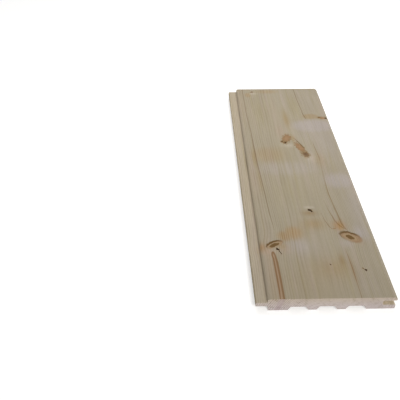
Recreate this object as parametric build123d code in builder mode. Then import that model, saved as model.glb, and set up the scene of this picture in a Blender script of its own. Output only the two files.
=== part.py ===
from build123d import *
import os

os.makedirs("parts", exist_ok=True)

# Tongue and groove board: one piece of softwood, planed and moulded on its four sides.
# It lies face up, with its length along Y, its tongue towards -X and its groove open to +X.
# The lands of its back lie on Z = 0, and the origin is under the middle of its outline.

# Overall sizes
length = 470.0
cover_width = 140.0  # what one laid board covers: from its shoulder to the nose of its lip
thickness = 18.0

# Tongue
tongue_length = 13.0
tongue_thickness = 5.8
tongue_drop = 5.3  # from the face down to the top of the tongue
tongue_nose_radius = 1.6

# Groove: it takes the tongue of a board of the same section, with these gaps round it
gap_over_tongue = 0.2
gap_under_tongue = 0.4
gap_at_tongue_nose = 2.0
groove_corner_radius = 1.5
mouth_lead_in = 1.0

# Arrises of the face: the two edges of a closed joint form a shallow lopsided V
tongue_arris_width = 2.0
tongue_arris_drop = 1.5
lip_arris_width = 3.8
lip_arris_drop = 2.6
arris_round = 1.2

# The joint stays open below the tongue, so that it closes at the face first
lower_lip_setback = 0.4
shoulder_setback_at_tongue = 0.3
shoulder_setback_at_back = 1.2
back_arris_radius = 0.8

# Reliefs: wide flat-roofed channels along the back, which let the board lie flat
relief_count = 3
relief_mouth = 22.6
relief_roof = 16.2
relief_depth = 5.2
relief_pitch = 31.6
relief_shift = 4.4  # from the middle of the face towards the tongue
relief_corner_radius = 1.2

# Places that follow from the sizes
overall_width = cover_width + tongue_length
tongue_nose_x = -overall_width / 2
shoulder_x = tongue_nose_x + tongue_length
lip_nose_x = shoulder_x + cover_width
lower_lip_x = lip_nose_x - lower_lip_setback
tongue_top = thickness - tongue_drop
tongue_bottom = tongue_top - tongue_thickness
groove_roof = tongue_top + gap_over_tongue
groove_floor = tongue_bottom - gap_under_tongue
groove_height = groove_roof - groove_floor
groove_depth = tongue_length + gap_at_tongue_nose
groove_end_x = lip_nose_x - groove_depth
relief_middle_x = shoulder_x + cover_width / 2 - relief_shift
relief_flank_run = (relief_mouth - relief_roof) / 2
relief_flank_angle = Vector(relief_flank_run, relief_depth).get_angle(Vector(1, 0))

with BuildPart() as board:
    with BuildSketch(Plane.XZ) as section:
        # Planed blank with its two face arrises and its leaning lower shoulder
        with BuildLine():
            Polyline(
                (shoulder_x + shoulder_setback_at_back, 0),
                (lower_lip_x, 0),
                (lower_lip_x, groove_floor),
                (lip_nose_x, groove_roof),
                (lip_nose_x, thickness - lip_arris_drop),
                (lip_nose_x - lip_arris_width, thickness),
                (shoulder_x + tongue_arris_width, thickness),
                (shoulder_x, thickness - tongue_arris_drop),
                (shoulder_x, tongue_top),
                (shoulder_x + shoulder_setback_at_tongue, tongue_bottom),
                close=True,
            )
        make_face()
        fillet(section.vertices().group_by(Axis.Y)[-1], arris_round)
        fillet(section.vertices().group_by(Axis.Y)[0], back_arris_radius)

        # Tongue, with a rounded nose
        with Locations((tongue_nose_x, tongue_bottom)):
            Rectangle(
                tongue_length + shoulder_setback_at_tongue,
                tongue_thickness,
                align=(Align.MIN, Align.MIN),
            )
        fillet(section.vertices().group_by(Axis.X)[0], tongue_nose_radius)

        # Groove, rounded at its inner corners and eased at its mouth
        with Locations((lip_nose_x, groove_floor)):
            Rectangle(
                groove_depth,
                groove_height,
                align=(Align.MAX, Align.MIN),
                mode=Mode.SUBTRACT,
            )
        groove_end = (groove_end_x, groove_floor + groove_height / 2)
        groove_mouth = (lip_nose_x, groove_floor + groove_height / 2)
        fillet(section.vertices().sort_by_distance(groove_end)[:2], groove_corner_radius)
        chamfer(section.vertices().sort_by_distance(groove_mouth)[:2], mouth_lead_in)

        # Reliefs in the back
        with Locations((relief_middle_x, 0)):
            with GridLocations(relief_pitch, 0, relief_count, 1):
                Trapezoid(
                    relief_mouth,
                    relief_depth,
                    relief_flank_angle,
                    align=(Align.CENTER, Align.MIN),
                    mode=Mode.SUBTRACT,
                )
        relief_roof_corners = section.vertices().filter_by(
            lambda corner: abs(corner.Y - relief_depth) < 0.001
            and abs(corner.X - relief_middle_x) < relief_pitch * relief_count / 2
        )
        fillet(relief_roof_corners, relief_corner_radius)
    extrude(amount=length / 2, both=True)

board.part.label = "board"
export_step(board.part, "parts/board.step")
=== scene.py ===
"""A tongue and groove board of planed softwood, lying face up on a pale studio floor."""

import bpy
import numpy as np
from mathutils.geometry import delaunay_2d_cdt
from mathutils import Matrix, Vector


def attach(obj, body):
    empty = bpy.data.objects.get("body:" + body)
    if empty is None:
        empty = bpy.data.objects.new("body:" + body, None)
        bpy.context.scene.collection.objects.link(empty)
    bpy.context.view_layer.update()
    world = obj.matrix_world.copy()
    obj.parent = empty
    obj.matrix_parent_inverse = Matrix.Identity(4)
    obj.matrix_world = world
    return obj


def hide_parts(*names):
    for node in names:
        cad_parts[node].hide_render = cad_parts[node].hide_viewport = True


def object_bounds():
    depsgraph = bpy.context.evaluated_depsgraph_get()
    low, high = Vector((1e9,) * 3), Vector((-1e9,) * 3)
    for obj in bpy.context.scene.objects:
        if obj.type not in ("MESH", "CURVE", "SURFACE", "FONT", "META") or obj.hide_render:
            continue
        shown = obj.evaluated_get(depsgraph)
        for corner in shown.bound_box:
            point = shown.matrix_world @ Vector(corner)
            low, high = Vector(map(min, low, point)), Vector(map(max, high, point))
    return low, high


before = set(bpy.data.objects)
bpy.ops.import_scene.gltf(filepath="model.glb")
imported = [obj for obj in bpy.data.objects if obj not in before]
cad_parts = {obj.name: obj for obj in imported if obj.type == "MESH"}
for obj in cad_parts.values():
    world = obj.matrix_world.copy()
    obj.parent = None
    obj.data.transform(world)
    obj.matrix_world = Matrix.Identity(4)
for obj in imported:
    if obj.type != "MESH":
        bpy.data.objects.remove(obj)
cad_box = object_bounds()
low, high = (np.array(corner) for corner in cad_box)


# The board. It is one length of spruce, planed on its face and moulded on its other sides by a four-sided
# planer, and cut square at both ends. Its section is taken from the frame and carried along the length, and
# one figure of rings, grain and knots runs through the whole piece, so that it goes on round every corner.

mm = 0.001
face_pitch = 1.0 * mm  # between the mesh lines along the face, where the figure shows most
side_pitch = 2.0 * mm  # between those on the tongue, the groove and the back
length_pitch = 2.0 * mm  # between the mesh lines across the board
cap_pitch = 1.2 * mm  # of the lattice inside the ends
rim_clearance = 0.45 * cap_pitch  # of that lattice from the outline
flush = 0.01 * mm  # points nearer than this to the face are on it
same_point = 0.0001 * mm  # points nearer than this to each other are one

# In mm, as all places on the board below are
tongue_length = 13.0  # from the shoulder to the nose
arris_drop = 2.7  # below the face, a little past its two eased edges
groove_end = 124.5  # across, to the groove's inner end
groove_middle = 9  # below the face
groove_reach = 4.3  # above and below that, a little past the groove's walls


def section_outline(node):
    """The corners of the section in order, as (x, z), anticlockwise as seen from the near end.

    The near end is a patch of triangles, whose corners are one where they agree to 7 decimals. An edge that
    only one of them has is on the outline, and leads from its corner to the next. Each corner's number of
    steps to the last one is found by jumping twice as far ahead in each round, and that gives the order.
    """
    co = np.empty(len(node.data.vertices) * 3)
    node.data.vertices.foreach_get("co", co)
    co = co.reshape(-1, 3)
    corners = np.empty(len(node.data.polygons) * 3, int)
    node.data.polygons.foreach_get("vertices", corners)
    corners = corners.reshape(-1, 3)
    at_near_end = np.isclose(co[:, 1], low[1], atol=flush)
    places, same = np.unique(np.round(co[:, [0, 2]], 7), axis=0, return_inverse=True)
    cap = same.reshape(-1)[corners[at_near_end[corners].all(axis=1)]]
    edges = np.concatenate([cap[:, [0, 1]], cap[:, [1, 2]], cap[:, [2, 0]]])
    both_ways, times = np.unique(np.sort(edges, axis=1), axis=0, return_counts=True)
    outer = both_ways[times == 1]
    edges = edges[(np.sort(edges, axis=1)[:, None] == outer[None]).all(axis=2).any(axis=1)]
    following = np.zeros(len(places), int)
    following[edges[:, 0]] = edges[:, 1]
    last = edges[0, 0]
    following[last] = last
    steps = np.where(np.arange(len(places)) == last, 0, 1)
    for _ in range(int(np.ceil(np.log2(len(edges)))) + 1):
        steps = steps + steps[following]
        following = following[following]
    on_outline = edges[:, 0]
    return places[on_outline[np.argsort(-steps[on_outline])]]


def divided(corners, pitches):
    """The closed outline, with each side cut into the fewest equal parts no longer than its pitch."""
    sides = np.roll(corners, -1, axis=0) - corners
    parts = np.ceil((np.hypot(*sides.T) - same_point) / pitches).astype(int)
    side = np.repeat(np.arange(len(corners)), parts)
    step = np.arange(parts.sum()) - np.repeat(np.cumsum(parts) - parts, parts)
    return corners[side] + sides[side] * (step / parts[side])[:, None]


corners = section_outline(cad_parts["board"])
middles = (corners + np.roll(corners, -1, axis=0)) / 2
outline = divided(corners, np.where(middles[:, 1] > high[2] - flush, face_pitch, side_pitch))
around = len(outline)

# The long sides: the outline at each station along the length
stations = np.linspace(low[1], high[1], int(np.ceil((high[1] - low[1]) / length_pitch)) + 1)
body = np.empty((len(stations), around, 3))
body[:, :, 0] = outline[:, 0]
body[:, :, 1] = stations[:, None]
body[:, :, 2] = outline[:, 1]
station, place = np.meshgrid(np.arange(len(stations) - 1), np.arange(around), indexing="ij")
here, beside = station * around + place, station * around + (place + 1) % around
side_faces = np.stack([here, here + around, beside + around, beside], axis=2).reshape(-1, 4)

# The two ends: triangles between the outline, whose points are those of the long sides, and an inner lattice
# that keeps clear of it
xs = np.arange(low[0] + cap_pitch / 2, high[0], cap_pitch)
zs = np.arange(low[2] + cap_pitch / 2, high[2], cap_pitch)
lattice = np.stack(np.meshgrid(xs, zs, indexing="ij"), axis=2).reshape(-1, 2)
clear = np.hypot(*(lattice[:, None] - outline[None]).transpose(2, 0, 1)).min(axis=1) > rim_clearance
flat_points = np.concatenate([outline, lattice[clear]])
rim = list(range(around))
inside_only = 1  # the kind of triangles asked for
found = delaunay_2d_cdt(flat_points.tolist(), [], [rim], inside_only, same_point)
cap_faces, came_from = np.array(found[2]), found[3]
source = np.fromiter(map(min, came_from), int)
inner = np.unique(source[cap_faces][source[cap_faces] >= around])
new_number = np.full(len(flat_points), -1)
new_number[:around] = rim
near_number, far_number = new_number.copy(), new_number.copy()
far_number[:around] += (len(stations) - 1) * around
near_number[inner] = body.shape[0] * around + np.arange(len(inner))
far_number[inner] = near_number[inner] + len(inner)
near_faces = near_number[source[cap_faces]]
far_faces = far_number[source[cap_faces]][:, ::-1]
inner_places = flat_points[inner]
near_points = np.insert(inner_places, 1, low[1], axis=1)
far_points = np.insert(inner_places, 1, high[1], axis=1)
points = np.concatenate([body.reshape(-1, 3), near_points, far_points])

# Places on the board in mm: across from the shoulder, along from the near end, and below the face
across = (points[:, 0] - low[0]) / mm - tongue_length
along = (points[:, 1] - low[1]) / mm
below = (high[2] - points[:, 2]) / mm

# Knots: across and along, half sizes across and along, and how far the long axis is turned, in degrees
sound_knots = [(17.5, 84.1, 11, 5.5, 27), (111, 95, 13.5, 8.2, -34)]
black_knots = [
    (20.0, 75.9, 3.0, 1.15, -48),
    (22.7, 70.4, 0.55, 4.2, 21),
    (70.6, 145.6, 3.0, 1.9, -33),
    (72.8, 142.7, 2.6, 1.2, -57),
    (115.7, 40.8, 1.2, 1.5, 0),
    (77.4, 49.7, 0.7, 1.1, 0),
    (137.3, 370.5, 2.8, 2.2, -10),
    (61.6, 300.8, 1.3, 2.0, -15),
    (56.9, 304.2, 0.8, 1.5, 0),
]
brown_knots = [
    (26.5, 459.5, 3.6, 2.2, 10),
    (113.2, 43.4, 1.8, 0.7, -45),
    (125.6, 373, 2.8, 2.3, 0),
    (86.6, 270.2, 6.4, 9, 20),
    (57.2, 304.4, 2.8, 3.4, 0),
    (61.7, 301.8, 3.8, 4.6, -20),
]
red_knots = [
    (64.8, 312.5, 7.2, 14, -20),
    (81.6, 288, 5.8, 17, 20),
    (131, 371, 9.5, 2.6, -8),
    (94, 110.2, 3.6, 0.7, 6),
]
# The knots that push the grain aside: by what share of their own width, and how far past their own length
knots = np.array(sound_knots + black_knots + brown_knots + red_knots[:2])
push_share, push_length = 0.4, 2.4

# Grain lines on the face: for each place across the board where one would run if it were straight, the
# (along, across) points that it does run through
grain_lines = {
    0: [(0, 0)],
    13: [
        (0, 14),
        (60, 14),
        (110, 20),
        (139, 18.2),
        (172, 17.2),
        (224, 15.2),
        (264, 13.6),
        (331, 12.7),
        (470, 10),
    ],
    50: [(0, 49), (84, 48), (130, 51), (200, 50), (470, 50)],
    85: [(0, 85), (100, 88), (150, 84), (270, 86), (470, 82)],
    102: [
        (0, 102),
        (60, 101),
        (130, 104),
        (154, 102.7),
        (171, 100),
        (195, 100.5),
        (260, 104),
        (374, 103),
        (470, 98),
    ],
    140: [(0, 140)],
}


def run_of(points_along, along):
    """The place across at each place along, on a line through a few points.

    It is the mean of the straight lines between the points, over 20 mm to each side and weighted by a bell.
    """
    to_each_side = 20
    every_mm = np.arange((high[1] - low[1]) / mm + 1)
    straight_lines = np.interp(every_mm, *np.array(points_along, float).T)
    bell = np.hanning(2 * to_each_side + 1)
    line = np.convolve(np.pad(straight_lines, to_each_side, mode="edge"), bell / bell.sum(), mode="valid")
    return np.interp(along, every_mm, line)


def straightened(across, along):
    """Where across the board the grain through each point would run if it were straight.

    Between two grain lines the shift goes evenly from one's to the other's. Each knot adds a bulge to it, of
    x / sqrt(x^2 + 1) times exp(-|x| / 2 - y^2), with x across and y along from the knot in its own sizes.
    """
    places = [run_of(points_along, along) for points_along in grain_lines.values()]
    shifts = [place - straight for place, straight in zip(places, grain_lines)]
    shift = shifts[0]
    for i in range(len(places) - 1):
        share = np.clip((across - places[i]) / (places[i + 1] - places[i]), 0, 1)
        shift = shift + share * (shifts[i + 1] - shifts[i])
    for knot_across, knot_along, half_across, half_along, _ in knots:
        beside = (across - knot_across) / half_across
        above = (along - knot_along) / (push_length * half_along)
        bulge = beside / np.sqrt(beside**2 + 1) * np.exp(-np.abs(beside) / 2 - above**2)
        shift = shift + push_share * half_across * bulge
    return across - shift


# The rings. The pith runs below the middle of the board, so they arch over it on the ends, and on the face
# they are wide in the middle and close at the edges. A point's ring is its distance from the pith over the
# width of a ring on its side.
pith_across, pith_below = 76, 42
pith_zone = 30  # to each side of the pith, in which one side's rings and lines turn into the other's
left_ring, right_ring = 2.2, 1.5
straight_across = straightened(across, along)
radius = np.hypot(straight_across - pith_across, below - pith_below)
side_of_pith = np.tanh((straight_across - pith_across) / pith_zone)
ring_width = (left_ring + right_ring) / 2 - (left_ring - right_ring) / 2 * side_of_pith
rings = radius / ring_width


def srgb(code):
    """An sRGB hex colour as linear red, green and blue."""
    values = np.array([int(code[i : i + 2], 16) for i in (1, 3, 5)]) / 255
    return np.where(values <= 0.04045, values / 12.92, ((values + 0.055) / 1.055) ** 2.4)


# Shades of the wood over the face, each with the places where it lies: across, along, half width, half
# length, how firm the edge is, and strength
olive, pinkish, lilac, pale = "#A69A7C", "#B5A08C", "#B3A9A2", "#C2B6A3"
tan, brown, orange = "#A58F6B", "#957A52", "#A9845A"
shades = {
    olive: [(40, 400, 25, 45, 1, 0.45), (90, 414, 10, 34, 1, 0.75), (49, 182, 34, 30, 1, 0.35)],
    pinkish: [
        (4, 420, 7, 60, 1, 0.3),
        (58, 332, 7, 19, 1, 0.5),
        (29, 77, 8, 9, 1, 0.7),
        (9, 71, 9, 6, 1, 0.8),
        (9, 40, 5, 60, 1, 0.55),
        (5, 215, 8, 45, 1, 0.35),
    ],
    lilac: [
        (112, 348, 34, 18.5, 3, 0.85),
        (108, 322, 30, 20, 1, 0.3),
        (55, 236, 42, 16, 2, 0.45),
        (121, 207, 20, 17, 2, 0.9),
        (120, 430, 18, 46, 1, 0.2),
        (72, 430, 9, 38, 1, 0.2),
        (122, 290, 16, 40, 1, 0.45),
        (91, 258, 9, 18, 1, 0.4),
        (132, 150, 12, 60, 1, 0.5),
        (112, 22, 10, 24, 1, 0.2),
        (47, 80, 15, 15, 1, 0.65),
        (124, 102, 9, 12, 1, 0.9),
        (104, 84, 9, 7, 1, 0.5),
    ],
    pale: [
        (66, 294, 11, 5, 1, 0.55),
        (93, 260, 6, 10, 1, 0.5),
        (28, 453.5, 7, 2.5, 2, 0.7),
        (70.5, 151, 7, 2.5, 2, 0.6),
    ],
    tan: [
        (26, 80.5, 5, 5, 1, 0.6),
        (54, 106, 8, 14, 1, 0.35),
        (75, 313, 4, 8, 1, 0.75),
        (13.5, 205, 3, 22, 1, 0.4),
        (112, 376.5, 13, 8, 4, 0.65),
        (11, 262, 3, 24, 1, 0.6),
        # The next patch is partly the wood's tan and partly painted shade, darkening the near end of the face
        (50, 22, 46, 36, 1, 0.25),
        (72, 368, 5, 24, 1, 0.75),
        (38, 272, 24, 21, 1.5, 0.25),
        (104, 256, 10, 17, 1, 0.3),
        (70.5, 119, 14, 11, 1, 0.8),
        (80, 44, 22, 16, 1, 0.6),
    ],
    brown: [
        (131, 372, 10, 5, 3, 0.5),
        (69, 139.5, 9, 5, 1, 0.65),
        (92, 56, 3.5, 10, 1, 0.6),
        (101, 38, 2, 26, 1, 0.45),
    ],
    orange: [
        (119, 86, 8, 7, 1, 0.2),
        (101.5, 115.5, 7.5, 9, 1, 0.9),
        (85.6, 261, 3, 3, 1, 0.3),
        (1, 79, 6, 7, 1, 0.75),
    ],
}

# Resin in the wood: it tints the rings that it lies in, and the late wood the more, so that it shows as
# stripes with the grain: across, along, half width, half length and strength
stains = [
    (31.5, 98, 9, 9, 0.9),
    (42.5, 103, 11, 12, 0.95),
    (102, 114, 5, 7, 0.6),
    (18, 449, 5, 8, 0.6),
    (52, 460, 18, 6, 0.5),
    (30, 270, 22, 18, 0.3),
    (104, 256, 8, 18, 0.15),
]
plain_wood = srgb("#A99E89")
painted_groove_light = "#E8DAC0"  # painted light, far paler than the wood, so that the shaded groove reads as lit
shade_depth, stain_depth = 12, 6  # how far into the wood they have faded to a third
tint = np.ones((len(points), 4))
tint[:, :3] = plain_wood
for code, places in shades.items():
    for place_across, place_along, half_width, half_length, firm, strength in places:
        reach = ((across - place_across) / half_width) ** 2 + ((along - place_along) / half_length) ** 2
        share = (strength * np.exp(-(reach**firm)) * np.exp(-below / shade_depth))[:, None]
        tint[:, :3] = tint[:, :3] * (1 - share) + srgb(code) * share
# Painted light: the groove's walls take that pale colour in place of the light that the groove, lying in
# shade, does not get
in_groove = (across > groove_end) & (np.abs(below - groove_middle) < groove_reach)
tint[:, :3] = np.where(in_groove[:, None], srgb(painted_groove_light), tint[:, :3])
stain = np.zeros(len(points))
for stain_across, stain_along, half_width, half_length, strength in stains:
    reach = ((across - stain_across) / half_width) ** 2 + ((along - stain_along) / half_length) ** 2
    stain = np.maximum(stain, strength * np.exp(-(reach**2) - below / stain_depth))

# Lines in the figure: their (along, across, half width) points, in sets by colour, first the broad resin
# streak that runs out at the near end. Each vertex holds how many half widths it is from a line, so that the
# line is drawn sharp between the vertices.
streaks = [[(0, 15.3, 2.5), (30, 15.3, 2.4), (55, 15.0, 2.2), (66, 14.3, 1.6), (72, 14, 0.05)]]
grey_lines = [
    [
        (110, 20.5, 0.05),
        (139, 18.2, 0.45),
        (172, 17.2, 0.45),
        (224, 15.2, 0.55),
        (250, 13.8, 0.7),
        (270, 13.5, 0.8),
        (292, 13.0, 0.6),
        (331, 12.7, 0.45),
        (380, 10.6, 0.4),
        (470, 10.0, 0.4),
    ],
    [
        (285, 87.6, 0.05),
        (288, 86.6, 1.1),
        (294, 84.4, 1.3),
        (300, 82, 1.0),
        (307, 79.2, 0.8),
        (316, 74.8, 0.05),
    ],
    [
        (367, 104.2, 0.05),
        (371, 103.6, 0.6),
        (385, 101.2, 0.7),
        (396, 101.3, 0.4),
        (432, 99.2, 0.4),
        (444, 99, 0.5),
        (470, 98.8, 0.4),
    ],
]
red_lines = [
    [
        (0, 13.3, 0.5),
        (12, 13.7, 0.9),
        (28, 13.7, 1.1),
        (60, 13.4, 1.0),
        (66, 12.6, 0.9),
        (71.5, 13.4, 1.2),
        (72.5, 14, 0.05),
    ],
    [
        (0, 17.5, 1.2),
        (30, 17.4, 1.3),
        (55, 17.0, 1.3),
        (66, 16.0, 1.0),
        (71.5, 14.6, 1.2),
        (72.5, 14, 0.05),
    ],
    [
        (0, 100.7, 0.25),
        (20, 100.8, 0.1),
        (30, 100.9, 0.35),
        (44, 101, 0.4),
        (62, 100.3, 0.25),
        (74, 99.6, 0.05),
    ],
]
brown_lines = [
    [
        (107, 109.5, 0.05),
        (109.4, 108.3, 0.58),
        (118, 105.4, 0.94),
        (127, 104.7, 1.16),
        (138, 104, 0.8),
        (148, 103, 0.87),
        (158, 102.3, 0.51),
        (178, 101, 0.65),
        (208, 101.7, 0.29),
        (250, 104.2, 0.14),
        (262, 104.7, 0.51),
        (290, 102.7, 0.43),
        (304, 102.4, 0.05),
    ],
    [
        (106, 110, 0.05),
        (108.5, 108.2, 0.72),
        (112.1, 104.8, 0.87),
        (116.7, 101.1, 0.87),
        (124.5, 98, 0.87),
        (132.5, 96.7, 0.8),
        (140.5, 94.9, 0.43),
        (152, 93.4, 0.17),
        (164, 92, 0.05),
    ],
    [(108.5, 92.5, 0.05), (109.8, 91.4, 0.43), (114.5, 88.7, 0.58), (127, 85.3, 0.36), (140, 84, 0.05)],
]
line_lean = 0.28  # how far a line goes sideways for each mm of depth
run_out = 2  # how far past its end a line has shrunk to a third
least_half = 0.01
far_off = 9.0  # in half sizes, where no line or knot shows


def half_widths_off(lines):
    """For each vertex and each of up to three lines, how many half widths it is to the right of the line.

    That is its place across, less the line's there, over the half width. Past a line's ends its half width
    shrinks to nothing, and below the face the line leans away from the pith.
    """
    off = np.full((len(points), 3), far_off)
    for i, line in enumerate(lines):
        alongs, acrosses, halves = np.array(line, float).T
        middle = np.interp(along, alongs, acrosses)
        lean = line_lean * below * np.tanh((middle - pith_across) / pith_zone)
        past = np.maximum(0, np.maximum(alongs[0] - along, along - alongs[-1]))
        half = np.interp(along, alongs, halves) * np.exp(-past / run_out) + least_half
        off[:, i] = (across - middle - lean) / half
    return off


# The hollows of the black knots, where bark has fallen out of the face
hollow_share = 0.12  # of a knot's smaller half size
depth = np.zeros(len(points))
for knot_across, knot_along, half_across, half_along, _ in black_knots:
    reach = ((across - knot_across) / half_across) ** 2 + ((along - knot_along) / half_along) ** 2
    depth = np.maximum(depth, hollow_share * mm * min(half_across, half_along) * np.exp(-(reach**2)))
points[:, 2] -= np.where(points[:, 2] > high[2] - flush, depth, 0)

mesh = bpy.data.meshes.new("spruce_board")
mesh.from_pydata(points.tolist(), [], side_faces.tolist() + near_faces.tolist() + far_faces.tolist())
mesh.shade_smooth()
crease = 32  # degrees past which an edge of the section stays sharp
mesh.set_sharp_from_angle(angle=np.radians(crease))
mesh.attributes.new("rings", "FLOAT", "POINT").data.foreach_set("value", rings)
grain = np.stack([straight_across, along, below], axis=1)
mesh.attributes.new("grain", "FLOAT_VECTOR", "POINT").data.foreach_set("vector", grain.ravel())
mesh.attributes.new("stain", "FLOAT", "POINT").data.foreach_set("value", stain)
mesh.attributes.new("tint", "FLOAT_COLOR", "POINT").data.foreach_set("color", tint.ravel())
for name, lines in (
    ("streaks", streaks),
    ("grey_lines", grey_lines),
    ("red_lines", red_lines),
    ("brown_lines", brown_lines),
):
    attribute = mesh.attributes.new(name, "FLOAT_VECTOR", "POINT")
    attribute.data.foreach_set("vector", half_widths_off(lines).ravel())


def add_node(tree, kind, inputs=(), **settings):
    """Adds a node with its settings, and gives its inputs, by name or in order, a link or a value.

    A link comes from a socket, or from the first output in use of a node. A hex code stands for a colour, and
    the stops are those of a colour ramp.
    """
    node = tree.nodes.new("ShaderNode" + kind)
    for i, (place, code) in enumerate(settings.pop("stops", ())):
        stop = node.color_ramp.elements[i] if i < 2 else node.color_ramp.elements.new(place)
        stop.position = place
        stop.color = (*srgb(code), 1)
    for name, value in settings.items():
        setattr(node, name, value)
    for name, value in inputs.items() if isinstance(inputs, dict) else enumerate(inputs):
        if isinstance(value, bpy.types.Node):
            value = next(output for output in value.outputs if output.enabled)
        if isinstance(value, bpy.types.NodeSocket):
            tree.links.new(value, node.inputs[name])
        elif isinstance(value, str):
            node.inputs[name].default_value = (*srgb(value), 1)
        else:
            node.inputs[name].default_value = value
    return node


def knot_place(knot_across, knot_along, half_across, half_along, turn):
    """A Mapping node's inputs that turn a place on the board into one in the knot's own half sizes.

    The third axis points away from the pith, as a branch grows, and nothing changes along it.
    """
    endless = 1000.0
    lean = np.arctan2(knot_across - pith_across, pith_below)
    return {
        "Location": (low[0] + (knot_across + tongue_length) * mm, low[1] + knot_along * mm, high[2]),
        "Rotation": (0, lean, np.radians(turn)),
        "Scale": (half_across * mm * np.cos(lean), half_along * mm, endless),
    }


def figured_spruce(name, pale_code, pale_share, late_code, late_share, line_share, roughness, relief, sawn):
    """Spruce with the board's figure, for one way in which its surface was cut.

    The cut sets how much of a paler colour lies over the wood, how strongly the late wood and the lines show,
    how rough it is, how far in mm the fibres stand up, and whether a saw left its marks.
    """
    material = bpy.data.materials.new(name)
    material.use_nodes = True
    tree = material.node_tree
    tree.nodes.clear()
    smooth = {"interpolation_type": "SMOOTHSTEP"}
    grain = add_node(tree, "Attribute", attribute_name="grain").outputs["Vector"]
    grain_places = add_node(tree, "SeparateXYZ", [grain])
    rings = add_node(tree, "Attribute", attribute_name="rings").outputs["Fac"]
    stain = add_node(tree, "Attribute", attribute_name="stain").outputs["Fac"]
    tint = add_node(tree, "Attribute", attribute_name="tint").outputs["Color"]

    # Noises on the grain, each with the size of its patches across and along it in mm. Real fibres are about
    # 0.04 mm across and resin ducts 0.15 mm: both, as fibre and fleck, are drawn coarser so that they show.
    noises = {}
    for use, wide, long, detail in (
        ("sway", 9, 90, 2),
        ("hue", 5, 160, 3),
        ("tone", 16, 120, 2),
        ("wane", 5, 40, 2),
        ("fibre", 0.9, 45, 3),
        ("fleck", 1.6, 5, 2),
    ):
        scaled = add_node(tree, "VectorMath", [grain, (wide, long, wide)], operation="DIVIDE")
        noises[use] = add_node(tree, "TexNoise", {"Vector": scaled, "Scale": 1.0, "Detail": detail})

    # Rings: each darkens from its early wood to its late wood and ends in a sharp edge. Some are heavier than
    # others, each waxes and wanes along its length, and over the pith they show faintly.
    sway = add_node(tree, "Math", [noises["sway"], 0.8], operation="MULTIPLY")
    count = add_node(tree, "Math", [rings, sway], operation="ADD")
    phase = add_node(tree, "Math", [count], operation="FRACT")
    rise = add_node(tree, "MapRange", [phase, 0.2, 0.9], **smooth)
    fall = add_node(tree, "MapRange", [phase, 1.0, 0.92], **smooth)
    ring_number = add_node(tree, "Math", [count], operation="FLOOR")
    heavy = add_node(tree, "TexWhiteNoise", {"W": ring_number}, noise_dimensions="1D")
    weight = add_node(tree, "Math", [heavy, 0.6, 0.4], operation="MULTIPLY_ADD")
    off_pith = add_node(tree, "Math", [grain_places, float(pith_across)], operation="SUBTRACT")
    off_pith = add_node(tree, "Math", [off_pith], operation="ABSOLUTE")
    clearness = add_node(tree, "MapRange", [off_pith, 8.0, 45.0, 0.45, 1.0], **smooth)
    wane = add_node(tree, "MapRange", [noises["wane"], 0.35, 0.65, 0.55, 1.15], **smooth)
    late = rise
    for factor in (fall, weight, clearness, wane):
        late = add_node(tree, "Math", [late, factor], operation="MULTIPLY")

    # Colour: the tint of each place, paler where it was cut last, and on a cut end paler and pinker towards
    # the bottom, which is painted light from the floor below; olive and pinkish streaks along the grain,
    # resin, and the late wood
    colour = add_node(tree, "Mix", {0: pale_share, 6: tint, 7: pale_code}, data_type="RGBA")
    if sawn:
        # Painted light: towards the bottom of a cut end the colour goes paler and pinker, in place of light
        # thrown up by the floor
        painted_bounce_share = add_node(tree, "MapRange", [grain_places.outputs["Z"], 0.0, 14.0, 0.0, 0.95])
        colour = add_node(tree, "Mix", {0: painted_bounce_share, 6: colour, 7: "#DACFCC"}, data_type="RGBA")
    share = add_node(tree, "MapRange", [noises["hue"], 0.5, 0.75, 0.0, 0.35], **smooth)
    colour = add_node(tree, "Mix", {0: share, 6: colour, 7: "#A39670"}, data_type="RGBA")
    share = add_node(tree, "MapRange", [noises["hue"], 0.5, 0.25, 0.0, 0.35], **smooth)
    colour = add_node(tree, "Mix", {0: share, 6: colour, 7: "#B3A196"}, data_type="RGBA")
    soaked = add_node(tree, "Math", [late, 0.45, 0.55], operation="MULTIPLY_ADD")
    soaked = add_node(tree, "Math", [soaked, stain], operation="MULTIPLY")
    colour = add_node(tree, "Mix", {0: soaked, 6: colour, 7: "#AE8E62"}, data_type="RGBA")
    late_shown = add_node(tree, "Math", [stain, 0.4, late_share], operation="MULTIPLY_ADD")
    late_shown = add_node(tree, "Math", [late_shown, late], operation="MULTIPLY")
    darkened = {0: late_shown, 6: colour, 7: late_code}
    colour = add_node(tree, "Mix", darkened, data_type="RGBA", blend_type="MULTIPLY")

    # Fibres, flecks and slow changes of tone make it a little lighter and darker
    fibre_tone = add_node(tree, "MapRange", [noises["fibre"], 0.25, 0.75, 0.92, 1.05])
    slow_tone = add_node(tree, "MapRange", [noises["tone"], 0.25, 0.75, -0.04, 0.04])
    fleck_tone = add_node(tree, "MapRange", [noises["fleck"], 0.25, 0.75, -0.035, 0.035])
    tone = fibre_tone
    for change in (slow_tone, fleck_tone):
        tone = add_node(tree, "Math", [tone, change], operation="ADD")
    grey = add_node(tree, "CombineColor", [tone, tone, tone])
    toned = {0: 1.0, 6: colour, 7: grey}
    colour = add_node(tree, "Mix", toned, data_type="RGBA", blend_type="MULTIPLY")

    # Places for the knots, shifted by up to 1 mm by a noise with patches of 4 mm, so that no edge is even
    place = add_node(tree, "TexCoord").outputs["Object"]
    warp = add_node(tree, "TexNoise", {"Vector": place, "Scale": 260.0, "Detail": 2.0}).outputs["Color"]
    centred = add_node(tree, "VectorMath", [warp, (0.5, 0.5, 0.5)], operation="SUBTRACT")
    warped = add_node(tree, "VectorMath", [centred, (4 * mm, 3 * mm, 0), place], operation="MULTIPLY_ADD")

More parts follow.
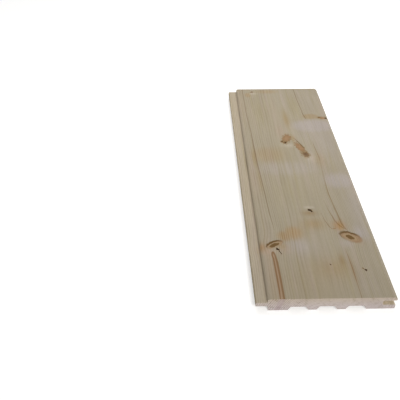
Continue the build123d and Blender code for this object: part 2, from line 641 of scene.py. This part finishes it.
    # Resin-red, brown and black knots: one ramp of colours from the middle out, mottled by a noise with
    # patches of 3 mm, and a soft edge
    mottle = add_node(tree, "TexNoise", {"Vector": place, "Scale": 330.0, "Detail": 2.0})
    mottle = add_node(tree, "MapRange", [mottle, 0.25, 0.75, -0.35, 0.35])
    resin_reds = [(0.0, "#A27F5C"), (0.5, "#97744F"), (0.8, "#84653E"), (1.0, "#A08A64")]
    browns = [(0.0, "#614630"), (0.5, "#7A5F40"), (1.0, "#8F7853")]
    blacks = [(0.0, "#160C02"), (0.6, "#2A1A08"), (1.0, "#694D26")]
    for group, stops, edge in (
        (red_knots, resin_reds, (1.3, 0.6, 0.0, 0.85)),
        (brown_knots, browns, (1.25, 0.6, 0.0, 0.9)),
        (black_knots, blacks, (1.3, 0.75, 0.0, 1.0)),
    ):
        nearest = far_off
        for knot in group:
            local = add_node(tree, "Mapping", {"Vector": warped, **knot_place(*knot)}, vector_type="TEXTURE")
            reach = add_node(tree, "VectorMath", [local], operation="LENGTH")
            nearest = add_node(tree, "Math", [reach, nearest], operation="MINIMUM")
        nearest = add_node(tree, "Math", [nearest, mottle], operation="ADD")
        knot_colour = add_node(tree, "ValToRGB", [nearest], stops=stops)
        share = add_node(tree, "MapRange", [nearest, *edge], **smooth)
        colour = add_node(tree, "Mix", {0: share, 6: colour, 7: knot_colour}, data_type="RGBA")

    # The streak and the narrow lines. Where a saw has cut across them they are all a purplish grey.
    for set_name, code, strength in (
        ("streaks", "#A78A6F", 0.8),
        ("grey_lines", "#74603F", 0.75),
        ("red_lines", "#80603C", 0.8),
        ("brown_lines", "#7C6138", 0.62),
    ):
        line_code = "#B29C9E" if sawn else code
        lines = add_node(tree, "Attribute", attribute_name=set_name).outputs["Vector"]
        for half_widths in add_node(tree, "SeparateXYZ", [lines]).outputs:
            off = add_node(tree, "Math", [half_widths], operation="ABSOLUTE")
            share = add_node(tree, "MapRange", [off, 1.6, 0.3, 0.0, strength * line_share], **smooth)
            colour = add_node(tree, "Mix", {0: share, 6: colour, 7: line_code}, data_type="RGBA")

    # Sound knots: a dark heart nearer than the middle, then a pale and a tan oval with rings 1 to 2.5 mm
    # apart, and a crescent of bark along the far side, which an inner oval leaves free and which thins out to
    # the right. Both ovals have their middles and half sizes here in the knot's own half sizes.
    for knot, heart, inner, bark_end in (
        (sound_knots[0], ((-0.08, -0.22), (1.5, 1.25)), ((-0.04, -0.29), (0.99, 0.85)), (1.1, 0.6)),
        (sound_knots[1], ((-0.03, -0.1), (1.05, 0.95)), ((0.12, -0.17), (0.98, 0.84)), (0.85, 0.05)),
    ):
        local = add_node(tree, "Mapping", {"Vector": warped, **knot_place(*knot)}, vector_type="TEXTURE")
        reaches = [add_node(tree, "VectorMath", [local], operation="LENGTH")]
        for middle, half_sizes in (heart, inner):
            settings = {"Vector": local, "Location": (*middle, 0), "Scale": (*half_sizes, 1)}
            oval = add_node(tree, "Mapping", settings, vector_type="TEXTURE")
            reaches.append(add_node(tree, "VectorMath", [oval], operation="LENGTH"))
        whole, from_heart, inside = reaches
        stops = [(0.0, "#6A502E"), (0.36, "#765C3A"), (0.47, "#B29B7B"), (0.6, "#A68B6D"), (0.85, "#A08568")]
        knot_colour = add_node(tree, "ValToRGB", [from_heart], stops=stops)
        tight = add_node(tree, "Math", [from_heart, 40.0], operation="MULTIPLY")
        tight = add_node(tree, "Math", [tight], operation="SINE")
        share = add_node(tree, "MapRange", [tight, -1.0, 1.0, 0.0, 0.25])
        knot_colour = add_node(tree, "Mix", {0: share, 6: knot_colour, 7: "#6E5632"}, data_type="RGBA")
        sides = add_node(tree, "SeparateXYZ", [local])
        bark = add_node(tree, "MapRange", [inside, 0.86, 1.14], **smooth)
        thinning = add_node(tree, "MapRange", [sides, *bark_end, 0.2, 1.0], **smooth)
        bark = add_node(tree, "Math", [bark, thinning], operation="MULTIPLY")
        knot_colour = add_node(tree, "Mix", {0: bark, 6: knot_colour, 7: "#664E2C"}, data_type="RGBA")
        held = add_node(tree, "MapRange", [sides.outputs["Y"], -1.0, -0.55, 0.45, 1.0], **smooth)
        share = add_node(tree, "MapRange", [whole, 1.18, 0.88], **smooth)
        share = add_node(tree, "Math", [share, held], operation="MULTIPLY")
        colour = add_node(tree, "Mix", {0: share, 6: colour, 7: knot_colour}, data_type="RGBA")

    # Relief in mm: the hard late wood and the fibres stand up, and a saw leaves marks 0.6 mm apart
    height = add_node(tree, "Math", [late, 0.03], operation="MULTIPLY")
    height = add_node(tree, "Math", [noises["fibre"], relief, height], operation="MULTIPLY_ADD")
    if sawn:
        marks = add_node(tree, "VectorMath", [place, (20 * mm, 1.0, 0.6 * mm)], operation="DIVIDE")
        marks = add_node(tree, "TexNoise", {"Vector": marks, "Scale": 1.0})
        height = add_node(tree, "Math", [marks, 0.08, height], operation="MULTIPLY_ADD")
    bump = add_node(tree, "Bump", {"Strength": 1.0, "Distance": mm, "Height": height})
    rough = add_node(tree, "Math", [late, -0.08, roughness], operation="MULTIPLY_ADD")
    shader = add_node(
        tree,
        "BsdfPrincipled",
        {"Base Color": colour, "Roughness": rough, "Normal": bump, "IOR": 1.5, "Specular IOR Level": 0.1},
    )
    add_node(tree, "OutputMaterial", {"Surface": shader})
    return material


# Spruce planed by turning knives: smooth and faintly silky, with the figure crisp
planed = figured_spruce(
    "planed_spruce",
    pale_code="#A99E89",
    pale_share=0.0,
    late_code="#B3A584",
    late_share=0.34,
    line_share=1.0,
    roughness=0.6,
    relief=0.03,
    sawn=False,
)
# Spruce moulded by profile knives and never sanded: a little paler and more matt, with raised fibres
moulded = figured_spruce(
    "moulded_spruce",
    pale_code="#CDBFA9",
    pale_share=0.5,
    late_code="#B3A584",
    late_share=0.45,
    line_share=0.8,
    roughness=0.7,
    relief=0.05,
    sawn=False,
)
# Spruce cut across by a circular saw: pale, fuzzy and matt, with the rings as thin purplish lines
crosscut = figured_spruce(
    "crosscut_spruce",
    pale_code="#D8C9B7",
    pale_share=0.8,
    late_code="#A89493",
    late_share=0.8,
    line_share=0.45,
    roughness=0.8,
    relief=0.05,
    sawn=True,
)
for material in (planed, moulded, crosscut):
    mesh.materials.append(material)
on_face = (outline[:, 1] + np.roll(outline[:, 1], -1)) / 2 > high[2] - arris_drop * mm
side_material = np.where(np.tile(on_face, len(stations) - 1), 0, 1)
cap_material = np.full(len(near_faces) + len(far_faces), 2)
mesh.polygons.foreach_set("material_index", np.concatenate([side_material, cap_material]))
board = bpy.data.objects.new("spruce_board", mesh)
bpy.context.scene.collection.objects.link(board)
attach(board, "root")
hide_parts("board")


# The floor. It is a plain sheet of pale paper, brighter to the camera than the light on it makes it, and more
# so far from the lamps, so that it is white with the board's soft shadow on it.

floor_half = 6.0
floor_gap = 0.1 * mm  # below the board, so that no two faces lie in one plane


def seen_directly(tree):
    """1 for what the camera sees, also in a reflection or through glass, and 0 for light on the board."""
    path = add_node(tree, "LightPath").outputs
    seen = add_node(tree, "Math", [path["Is Camera Ray"], path["Is Glossy Ray"]], operation="MAXIMUM")
    return add_node(tree, "Math", [seen, path["Is Transmission Ray"]], operation="MAXIMUM")


floor_mesh = bpy.data.meshes.new("studio_floor")
floor_corners = np.array([(-1, -1, 0), (1, -1, 0), (1, 1, 0), (-1, 1, 0)]) * floor_half
floor_corners[:, 2] = low[2] - floor_gap
floor_mesh.from_pydata(floor_corners.tolist(), [], [(0, 1, 2, 3)])
floor = bpy.data.objects.new("studio_floor", floor_mesh)
bpy.context.scene.collection.objects.link(floor)
paper = bpy.data.materials.new("white_paper")
paper.use_nodes = True
paper.node_tree.nodes.clear()
matt = add_node(paper.node_tree, "BsdfDiffuse", {"Color": "#F2F1EF"})
seen = seen_directly(paper.node_tree)
spot = add_node(paper.node_tree, "TexCoord").outputs["Object"]
away = add_node(paper.node_tree, "VectorMath", [spot], operation="LENGTH")
level = add_node(paper.node_tree, "MapRange", [away, 0.6, 3.0, 0.45, 0.85], interpolation_type="SMOOTHSTEP")
glow_strength = add_node(paper.node_tree, "Math", [seen, level], operation="MULTIPLY")
glow = add_node(paper.node_tree, "Emission", {"Strength": glow_strength})
lit = add_node(paper.node_tree, "AddShader", [matt, glow])
add_node(paper.node_tree, "OutputMaterial", {"Surface": lit})
floor_mesh.materials.append(paper)


# The light. A pale room fills in the shadows, a soft lamp hangs over the far half of the board, a large one
# stands well back in front of it and lights the cut end, and a low one on the right lights the groove.

world = bpy.data.worlds.new("pale_room")
bpy.context.scene.world = world
world.use_nodes = True
room = world.node_tree
room.nodes.clear()
fill = 0.28  # of the room's white that falls on the board
strength = add_node(room, "MapRange", {"Value": seen_directly(room), "To Min": fill, "To Max": 1.0})
background = add_node(room, "Background", {"Color": (1, 1, 1, 1), "Strength": strength})
add_node(room, "OutputWorld", {"Surface": background})


def soft_lamp(name, place, aim, size, power):
    """A square area lamp at a place, turned to face a point."""
    lamp = bpy.data.lights.new(name, "AREA")
    lamp.size = size
    lamp.energy = power
    made = bpy.data.objects.new(name, lamp)
    bpy.context.scene.collection.objects.link(made)
    direction = np.array(aim) - np.array(place)
    flat = np.hypot(direction[0], direction[1])
    made.location = place
    made.rotation_euler = (np.arctan2(flat, -direction[2]), 0, np.arctan2(-direction[0], direction[1]))


soft_lamp("overhead_lamp", (-0.05, 0.21, 0.6), (-0.015, 0.4, 0), 0.6, 2.37)
soft_lamp("front_lamp", (0.9, -4.0, 3.6), (0, -0.1, 0), 1.4, 115)
soft_lamp("side_lamp", (1.5, -0.7, 0.28), (0, -0.1, 0), 0.6, 4.0)


# The camera. It stands in front of the near end and left of the board, as in the photograph, and looks along
# the board and down at it.

tilt_down, turn_right = 39.4053, 1.1732  # degrees
camera_data = bpy.data.cameras.new("camera")
camera_data.lens = 48.68
camera_data.sensor_width = 36.0
camera = bpy.data.objects.new("camera", camera_data)
bpy.context.scene.collection.objects.link(camera)
camera.location = (-0.14373, -0.61152, 0.46591)
camera.rotation_euler = (np.radians(90 - tilt_down), 0, np.radians(-turn_right))
bpy.context.scene.camera = camera
bpy.context.scene.view_settings.view_transform = "Standard"
